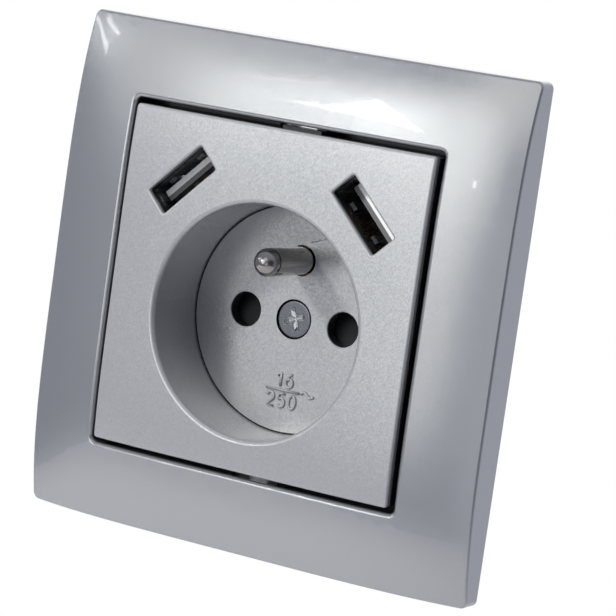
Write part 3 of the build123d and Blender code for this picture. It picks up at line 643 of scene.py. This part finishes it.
def sweep_tube(name: str, path: Sequence[Vector], radius: float, sides: int = 8) -> Piece:
    """Adds a closed round tube along a path.

    Args:
        name: Name of the piece.
        path: Points along the middle, in metres.
        radius: Radius of the tube.
        sides: Number of flats round it.

    Returns:
        The new object.
    """
    points = []
    normal = Vector((0.0, 1.0, 0.0))
    for place, point in enumerate(path):
        ahead = path[min(place + 1, len(path) - 1)]
        behind = path[max(place - 1, 0)]
        along = (ahead - behind).normalized()
        normal = (normal - along * normal.dot(along)).normalized()
        across = along.cross(normal)
        for side in range(sides):
            turn = math.tau * side / sides
            points.append(point + (normal * math.cos(turn) + across * math.sin(turn)) * radius)
    return add_mesh(name, points, ring_faces(len(path), sides))


@dataclass
class WellMark:
    """Raised rating on the well floor, two numbers with a bar and a wave, and a fine weld line."""

    wardrobe: Wardrobe
    upper_digits: str = "16"
    lower_digits: str = "250"
    upper_place: Pair = (0.0 * MM, -13.93 * MM)
    lower_place: Pair = (-0.2 * MM, -17.43 * MM)
    digit_height: float = 2.3 * MM
    digit_width: float = 1.3 * MM
    upper_pitch: float = 1.8 * MM
    lower_pitch: float = 2.1 * MM
    bar_start: float = -3.4 * MM
    bar_end: float = 3.0 * MM
    bar_height: float = -15.67 * MM
    wave_start: float = 3.4 * MM
    wave_length: float = 2.5 * MM
    wave_rise: float = 0.4 * MM
    stroke: float = 0.24 * MM
    rise: float = 0.10 * MM
    weld: tuple[Pair, Pair] = ((1.4 * MM, 9.8 * MM), (4.7 * MM, 11.1 * MM))
    weld_stroke: float = 0.07 * MM
    floor_depth: float = 3.3 * MM
    steps: int = 12

    def build(self) -> None:
        """Adds all strokes of the mark."""
        self.add_row("rating_upper", self.upper_digits, self.upper_place, self.upper_pitch)
        self.add_row("rating_lower", self.lower_digits, self.lower_place, self.lower_pitch)
        bar = [(self.bar_start, self.bar_height), (self.bar_end, self.bar_height)]
        self.add_stroke("rating_bar", bar, self.stroke)
        wave = []
        for step in range(self.steps + 1):
            share = step / self.steps
            rise = self.wave_rise * math.sin(math.tau * share)
            wave.append((self.wave_start + self.wave_length * share, self.bar_height + rise))
        self.add_stroke("rating_wave", wave, self.stroke)
        self.add_stroke("weld_line", self.weld, self.weld_stroke)

    def add_row(self, name: str, digits: str, middle: Pair, pitch: float) -> None:
        """Adds a row of digits.

        Args:
            name: Name that the pieces start with.
            digits: Digits from left to right.
            middle: Middle of the row on the floor.
            pitch: Distance from digit to digit.
        """
        for place, digit in enumerate(digits):
            side = middle[0] + (place - (len(digits) - 1) / 2) * pitch
            line = []
            for across, up in self.outline(digit):
                line.append((side + across * self.digit_width, middle[1] + up * self.digit_height))
            self.add_stroke(f"{name}_{place}", line, self.stroke)

    def arc(self, middle: Pair, radii: Pair, start: float, end: float) -> list[Pair]:
        """Draws an oval arc.

        Args:
            middle: Its middle.
            radii: How far it reaches across and up.
            start: Angle in degrees at which it starts.
            end: Angle in degrees at which it ends.

        Returns:
            Points along the arc.
        """
        points = []
        for step in range(self.steps + 1):
            angle = math.radians(start + (end - start) * step / self.steps)
            across = middle[0] + radii[0] * math.cos(angle)
            points.append((across, middle[1] + radii[1] * math.sin(angle)))
        return points

    def outline(self, digit: str) -> list[Pair]:
        """Draws a digit in a box that reaches half a unit from its middle.

        Args:
            digit: One of the digits that the mark uses.

        Returns:
            Points along the digit's line.
        """
        two = self.arc((0.0, 0.2), (0.48, 0.3), 170, -40)
        five = self.arc((-0.02, -0.17), (0.5, 0.33), 130, -150)
        six = self.arc((0.0, -0.18), (0.5, 0.32), 160, 520)
        outlines = {
            "0": self.arc((0.0, 0.0), (0.5, 0.5), 90, 450),
            "1": [(-0.35, 0.25), (0.1, 0.5), (0.1, -0.5)],
            "2": [*two, (-0.5, -0.5), (0.5, -0.5)],
            "5": [(0.45, 0.5), (-0.35, 0.5), (-0.42, 0.05), *five],
            "6": [(0.35, 0.5), (-0.1, 0.35), *six],
        }
        return outlines[digit]

    def add_stroke(self, name: str, line: Sequence[Pair], radius: float) -> None:
        """Adds one raised line that is partly sunk in the floor.

        Args:
            name: Name of the piece.
            line: Points across and up the floor.
            radius: Radius of the line.
        """
        path = [Vector((across, self.floor_depth - self.rise, up)) for across, up in line]
        piece = sweep_tube(name, path, radius)
        self.wardrobe.put_on(piece, Slot.PLATE)
        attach(piece, ROOT_BODY)
        LOG.info("added %s", name)


@dataclass
class CrossScrew:
    """Centre screw with a thread and a cross recess in brighter metal as a painted highlight, in place
    of the plain CAD screw.
    """

    wardrobe: Wardrobe
    head_height: float = 1.3 * MM
    head_round: float = 0.3 * MM
    shank_radius: float = 1.5 * MM
    thread_depth: float = 0.25 * MM
    tip_taper: float = 0.3 * MM
    pitch: float = 0.5 * MM
    turn: float = 20.0
    arm_length: float = 2.0 * MM
    arm_width: float = 0.52 * MM
    arm_slope: float = 1.5
    core_radius: float = 1.0 * MM
    core_slope: float = 0.9
    core_corner: float = 0.4
    recess_depth: float = 0.7 * MM
    highlight_start: float = 0.03 * MM
    smallest_ring: float = 0.01 * MM
    sides: int = 144
    head_steps: int = 44
    round_steps: int = 4
    rows_per_turn: int = 6

    def build(self) -> None:
        """Adds the head and the threaded shank as one piece."""
        low, high = (Vector(corner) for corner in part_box("centre_screw"))
        middle = (low + high) / 2
        rings = self.head_rings(low.y, (high.x - low.x) / 2)
        rings += self.shank_rings(low.y + self.head_height, high.y)
        points = []
        for ring in rings:
            for angle, (out, deep) in zip(self.angles(), ring):
                across = middle.x + out * math.cos(angle)
                points.append((across, deep, middle.z + out * math.sin(angle)))
        # These rings run round the other way than a tube's, so each face is turned over
        faces = [face[:1] + face[:0:-1] for face in ring_faces(len(rings), self.sides)]
        piece = add_mesh("centre_screw_turned", points, faces)
        self.wardrobe.put_on(piece, Slot.SCREW, Slot.NICKEL)
        self.paint_recess_highlight(piece, middle, low.y)
        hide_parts("centre_screw")
        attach(piece, ROOT_BODY)
        LOG.info("added centre_screw_turned")

    def angles(self) -> list[float]:
        """Returns the angle of each point in a ring."""
        return [math.tau * side / self.sides for side in range(self.sides)]

    def head_rings(self, front: float, radius: float) -> list[list[Pair]]:
        """Shapes the head from its middle out, over the rounded edge and down its side.

        Args:
            front: Depth of the head's face.
            radius: Radius of the head.

        Returns:
            A radius and a depth at each angle of each ring.
        """
        flat = radius - self.head_round
        rings = []
        for step in range(self.head_steps + 1):
            out = max(flat * step / self.head_steps, self.smallest_ring)
            rings.append([(out, front + self.recess(out, angle)) for angle in self.angles()])
        for step in range(1, self.round_steps + 1):
            bend = math.pi / 2 * step / self.round_steps
            out = flat + self.head_round * math.sin(bend)
            deep = front + self.head_round * (1 - math.cos(bend))
            rings.append([(out, deep)] * self.sides)
        rings.append([(radius, front + self.head_height)] * self.sides)
        return rings

    def recess(self, out: float, angle: float) -> float:
        """Shapes the cross recess.

        Args:
            out: Distance from the head's middle.
            angle: Angle round it.

        Returns:
            How deep the recess is at that place.
        """
        turned = angle - math.radians(self.turn)
        reach = (abs(math.cos(turned)) * out, abs(math.sin(turned)) * out)
        along = max(reach)
        across = min(reach)
        arm = min((self.arm_width - across) * self.arm_slope, self.arm_length - along)
        core = (self.core_radius - along - self.core_corner * across) * self.core_slope
        return min(max(arm, core, 0.0), self.recess_depth)

    def paint_recess_highlight(self, piece: Piece, middle: Vector, front: float) -> None:
        """Gives the recess brighter metal as a painted highlight on its facets.

        Args:
            piece: The screw.
            middle: A point on the screw's axis.
            front: Depth of the head's face.
        """
        piece.data.materials.append(self.wardrobe.materials[Slot.WORN])
        for face in piece.data.polygons:
            sunk = self.highlight_start < face.center.y - front < self.head_height
            if sunk and (face.center - middle).xz.length < self.arm_length:
                face.material_index = 1

    def shank_rings(self, start: float, end: float) -> list[list[Pair]]:
        """Shapes the shank with a helical thread, tapered at the point.

        Args:
            start: Depth of the head's underside.
            end: Depth of the screw's point.

        Returns:
            A radius and a depth at each angle of each ring.
        """
        count = int((end - start) / self.pitch * self.rows_per_turn)
        rings = []
        for step in range(count + 1):
            deep = start + (end - start) * step / count
            taper = self.tip_taper * (1 - min(1.0, (end - deep) / self.pitch))
            rings.append([(self.thread(deep, angle) - taper, deep) for angle in self.angles()])
        return rings

    def thread(self, deep: float, angle: float) -> float:
        """Returns the thread's radius at a depth and an angle."""
        phase = (deep / self.pitch + angle / math.tau) % 1.0
        return self.shank_radius - self.thread_depth * abs(2 * phase - 1)


@dataclass
class DriveThread:
    """Thread ridge on the shank of one claw screw."""

    wardrobe: Wardrobe
    node: str
    body: str
    head_height: float = 1.6 * MM
    tip_length: float = 1.4 * MM
    shank_radius: float = 1.45 * MM
    ridge: float = 0.13 * MM
    ridge_sides: int = 6
    pitch: float = 0.5 * MM
    steps_per_turn: int = 24

    def build(self) -> None:
        """Adds the ridge as a helix that moves with the screw."""
        low, high = (Vector(corner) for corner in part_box(self.node))
        middle = (low + high) / 2
        start = low.y + self.head_height + self.pitch
        length = high.y - self.tip_length - start
        count = int(length / self.pitch * self.steps_per_turn)
        radius = self.shank_radius - self.ridge / 2
        path = []
        for step in range(count + 1):
            angle = math.tau * step / self.steps_per_turn
            across = middle.x + radius * math.cos(angle)
            up = middle.z + radius * math.sin(angle)
            path.append(Vector((across, start + length * step / count, up)))
        piece = sweep_tube(f"{self.node}_thread", path, self.ridge, self.ridge_sides)
        self.wardrobe.put_on(piece, Slot.ZINC)
        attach(piece, self.body)
        LOG.info("added %s_thread", self.node)


@dataclass
class ShutterSpring:
    """Coil spring that the shutter presses together."""

    wardrobe: Wardrobe
    turns: float = 7.5
    wire: float = 0.2 * MM
    steps_per_turn: int = 20
    play: float = 0.1 * MM
    joint: str = "shutter_slide"

    def build(self) -> None:
        """Adds the coil in the place of the CAD spring."""
        low, high = (Vector(corner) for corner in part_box("shutter_spring"))
        middle = (low + high) / 2
        radius = (high.x - low.x) / 2 - self.wire
        full = high.z - low.z
        count = int(self.turns * self.steps_per_turn)
        path = []
        for step in range(count + 1):
            turn = math.tau * self.turns * step / count
            across = middle.x + radius * math.cos(turn)
            deep = middle.y + radius * math.sin(turn)
            height = low.z + self.wire + (full - 2 * self.wire) * step / count
            path.append(Vector((across, deep, height)))
        piece = sweep_tube("shutter_coil", path, self.wire)
        self.wardrobe.put_on(piece, Slot.SPRING)
        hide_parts("shutter_spring")
        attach(piece, ROOT_BODY)
        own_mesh(piece)
        LOG.info("added shutter_coil")


def aim(azimuth: float, elevation: float) -> Vector:
    """Turns two angles into a direction.

    Args:
        azimuth: Degrees from straight in front of the socket to its right.
        elevation: Degrees up.

    Returns:
        The unit vector that points there.
    """
    turn = math.radians(azimuth)
    rise = math.radians(elevation)
    level = math.cos(rise)
    return Vector((math.sin(turn) * level, -math.cos(turn) * level, math.sin(rise)))


@dataclass(frozen=True)
class Card:
    """A soft round patch of light in the studio, seen from the object."""

    azimuth: float
    elevation: float
    level: float
    inner: float
    outer: float

    def glow(self, graph: Graph, way: Socket) -> Socket:
        """Lights the surround.

        Args:
            graph: The world's tree.
            way: Direction that is looked in.

        Returns:
            The patch's light along that direction.
        """
        near = graph.measure("DOT_PRODUCT", way, tuple(aim(self.azimuth, self.elevation)))
        outer = math.cos(math.radians(self.outer))
        inner = math.cos(math.radians(self.inner))
        return graph.math("MULTIPLY", graph.step(near, outer, inner), self.level)


@dataclass(frozen=True)
class Pane:
    """A bright pane with straight edges, such as a part of a window, seen from the object."""

    corners: tuple[Pair, ...]
    level: float
    softness: float = 0.25

    def glow(self, graph: Graph, way: Socket) -> Socket:
        """Lights the surround.

        Args:
            graph: The world's tree.
            way: Direction that is looked in.

        Returns:
            The pane's light along that direction.
        """
        light = self.level
        soft = math.sin(math.radians(self.softness))
        ways = [aim(*corner) for corner in self.corners]
        for here, there in zip(ways, ways[1:] + ways[:1]):
            edge = here.cross(there).normalized()
            within = graph.measure("DOT_PRODUCT", way, tuple(edge))
            light = graph.math("MULTIPLY", graph.step(within, -soft, soft), light)
        return light


@dataclass(frozen=True)
class Lamp:
    """A square lamp at a place round the object, left out of reflections."""

    name: str
    azimuth: float
    elevation: float
    distance: float
    side: float
    radiance: float

    def build(self) -> None:
        """Adds the lamp and turns it to the object."""
        light = bpy.data.lights.new(self.name, "AREA")
        light.shape = "RECTANGLE"
        light.size = self.side
        light.size_y = self.side
        light.energy = self.radiance * math.pi * self.side**2
        holder = bpy.data.objects.new(self.name, light)
        way = aim(self.azimuth, self.elevation)
        turn = way.to_track_quat("Z", "Y").to_matrix().to_4x4()
        holder.matrix_world = Matrix.Translation(way * self.distance) @ turn
        holder.visible_camera = False
        holder.visible_glossy = False
        bpy.context.scene.collection.objects.link(holder)


@dataclass
class Studio:
    """Soft studio: a graded surround, a pale floor far below and a few lamps."""

    front_level: float = 0.29
    back_level: float = 0.52
    back_fade: Pair = (-0.1, 0.5)
    top_level: float = 0.12
    top_fade: Pair = (0.2, 0.9)
    shade_tint: Colour = (0.89, 0.94, 1.13)
    light_tint: Colour = (0.985, 1.0, 0.99)
    floor_drop: float = 0.30
    floor_side: float = 1.2
    floor_colour: Colour = (0.43, 0.43, 0.44)
    floor_white: float = 0.75
    # White backdrop behind the object, which its glossy sides mirror
    backdrop: Card = Card(-150.8, -7.2, level=1.0, inner=30.0, outer=50.0)
    # Soft boxes in front, the last of them a dark flag on the right
    cards: tuple[Card, ...] = (
        Card(-17.5, 4.6, level=1.55, inner=2.0, outer=19.5),
        Card(-42.0, 13.0, level=0.60, inner=0.0, outer=20.0),
        Card(0.0, 24.0, level=0.70, inner=0.0, outer=20.0),
        Card(12.0, -10.0, level=0.35, inner=0.0, outer=18.0),
        Card(50.0, 4.0, level=-0.20, inner=10.0, outer=32.0),
    )
    # Window panes that glossy surfaces mirror as sharp highlights
    panes: tuple[Pane, ...] = (
        Pane(((-30.5, 9.9), (-21.1, 9.0), (-27.6, 14.1)), level=8.0),
        Pane(((-31.9, 13.5), (-30.4, 15.7), (-30.5, 16.1), (-32.0, 13.9)), level=3.0),
        Pane(((-67.3, 15.4), (-57.2, 9.6), (-57.2, 11.6), (-67.3, 16.6)), level=6.0, softness=0.5),
        Pane(((-62.3, 16.6), (-54.6, 14.4), (-54.6, 15.8), (-62.3, 17.6)), level=6.0, softness=0.5),
        Pane(((-8.3, 1.4), (-7.3, 1.4), (-7.3, 2.4), (-8.3, 2.4)), level=8.0),
    )
    lamps: tuple[Lamp, ...] = (
        Lamp("key_lamp", -34.0, 30.0, distance=1.2, side=0.16, radiance=170.0),
        Lamp("top_lamp", -20.0, 52.0, distance=1.0, side=0.40, radiance=9.0),
        Lamp("back_lamp", 170.0, 25.0, distance=1.0, side=0.50, radiance=5.0),
        Lamp("right_lamp", 104.0, 10.0, distance=1.0, side=0.50, radiance=4.0),
        Lamp("left_lamp", -104.0, 10.0, distance=1.0, side=0.50, radiance=4.0),
    )

    def build(self) -> None:
        """Adds the surround, the floor and the lamps."""
        self.add_surround()
        self.add_floor()
        for lamp in self.lamps:
            lamp.build()

    def brightness(self, graph: Graph, way: Socket) -> Socket:
        """Adds up the surround's light.

        Args:
            graph: The world's tree.
            way: Direction that is looked in.

        Returns:
            The light of the graded surround, the cards and the panes along that direction.
        """
        parts = graph.split(way)
        behind = graph.step(parts["Y"], *self.back_fade)
        level = graph.spread(behind, self.front_level, self.back_level)
        above = graph.step(parts["Z"], *self.top_fade)
        level = graph.math("ADD", level, graph.math("MULTIPLY", above, self.top_level))
        for light in (*self.cards, *self.panes):
            level = graph.math("ADD", level, light.glow(graph, way))
        return level

    def add_surround(self) -> None:
        """Grades the world by direction; the camera and the mirrored backdrop are plain white."""
        world = bpy.data.worlds.new("studio")
        bpy.context.scene.world = world
        world.use_nodes = True
        graph = Graph(world.node_tree)
        way = graph.vector("NORMALIZE", graph.add("TexCoord").outputs["Generated"])
        level = self.brightness(graph, way)
        path = graph.add("LightPath").outputs
        mirrored = graph.math("MAXIMUM", path["Is Glossy Ray"], path["Is Transmission Ray"])
        screen = graph.math("MULTIPLY", mirrored, self.backdrop.glow(graph, way))
        plain = graph.math("MAXIMUM", path["Is Camera Ray"], screen)
        rest = graph.math("MULTIPLY", graph.math("SUBTRACT", 1.0, plain), level)
        shown = graph.math("ADD", plain, rest)
        lit = graph.step(shown, self.front_level, 1.0)
        tint = graph.ramp(lit, self.shade_tint, self.light_tint)
        colour = graph.blend(plain, tint, WHITE)
        light = graph.add("Background", {"Color": colour, "Strength": shown})
        graph.add("OutputWorld", {"Surface": light.outputs[0]})

    def add_floor(self) -> None:
        """Adds a pale floor that keeps the object's shadow and fades to plain white for the camera."""
        half = self.floor_side / 2
        corners = [(-half, -half), (half, -half), (half, half), (-half, half)]
        points = [(across, deep, -self.floor_drop) for across, deep in corners]
        floor = add_mesh("studio_floor", points, [(0, 1, 2, 3)], smooth=False)
        material = bpy.data.materials.new("studio_floor")
        material.use_nodes = True
        graph = Graph(material.node_tree)
        matt = graph.add("BsdfDiffuse", {"Color": (*self.floor_colour, 1.0)})
        white = graph.add("Emission", {"Color": WHITE, "Strength": 1.0})
        reach = graph.measure("LENGTH", graph.place())
        far = graph.step(reach, self.floor_drop, math.hypot(self.floor_drop, half))
        plain = graph.spread(far, self.floor_white, 1.0)
        seen = graph.math("MULTIPLY", graph.add("LightPath").outputs["Is Camera Ray"], plain)
        both = graph.add("MixShader", {0: seen, 1: matt.outputs[0], 2: white.outputs[0]})
        graph.add("OutputMaterial", {"Surface": both.outputs[0]})
        floor.data.materials.append(material)


@dataclass
class Viewpoint:
    """Camera at the photograph's angle."""

    azimuth: float = 29.191
    elevation: float = 7.195
    roll: float = 8.067
    distance: float = 0.516603
    target: Triple = (0.004253, 0.0, -0.000662)
    focal_pixels: float = 3111.882
    sensor: float = 36.0
    near_clip: float = 0.01

    def build(self) -> None:
        """Adds the camera and makes it the scene's."""
        data = bpy.data.cameras.new("camera")
        data.sensor_width = self.sensor
        data.lens = self.focal_pixels / IMAGE_SIDE * self.sensor
        data.clip_start = self.near_clip
        camera = bpy.data.objects.new("camera", data)
        back = aim(self.azimuth, self.elevation)
        turn = math.radians(self.azimuth)
        right = Vector((math.cos(turn), math.sin(turn), 0.0))
        rotation = Matrix((right, back.cross(right), back)).transposed()
        rolled = rotation @ Matrix.Rotation(math.radians(self.roll), 3, "Z")
        place = Vector(self.target) + back * self.distance
        camera.matrix_world = Matrix.Translation(place) @ rolled.to_4x4()
        bpy.context.scene.collection.objects.link(camera)
        bpy.context.scene.camera = camera


def main() -> None:
    """Builds the dressed socket, the studio and the camera in order."""
    logging.basicConfig(level=logging.INFO, format="%(message)s")
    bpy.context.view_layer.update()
    bpy.context.scene.view_settings.view_transform = "Standard"
    wardrobe = Wardrobe()
    wardrobe.dress_nodes()
    WellMark(wardrobe).build()
    CrossScrew(wardrobe).build()
    DriveThread(wardrobe, "claw_screw_left", LEFT_SCREW_BODY).build()
    DriveThread(wardrobe, "claw_screw_right", RIGHT_SCREW_BODY).build()
    ShutterSpring(wardrobe).build()
    Studio().build()
    Viewpoint().build()


if __name__ == "__main__":
    main()
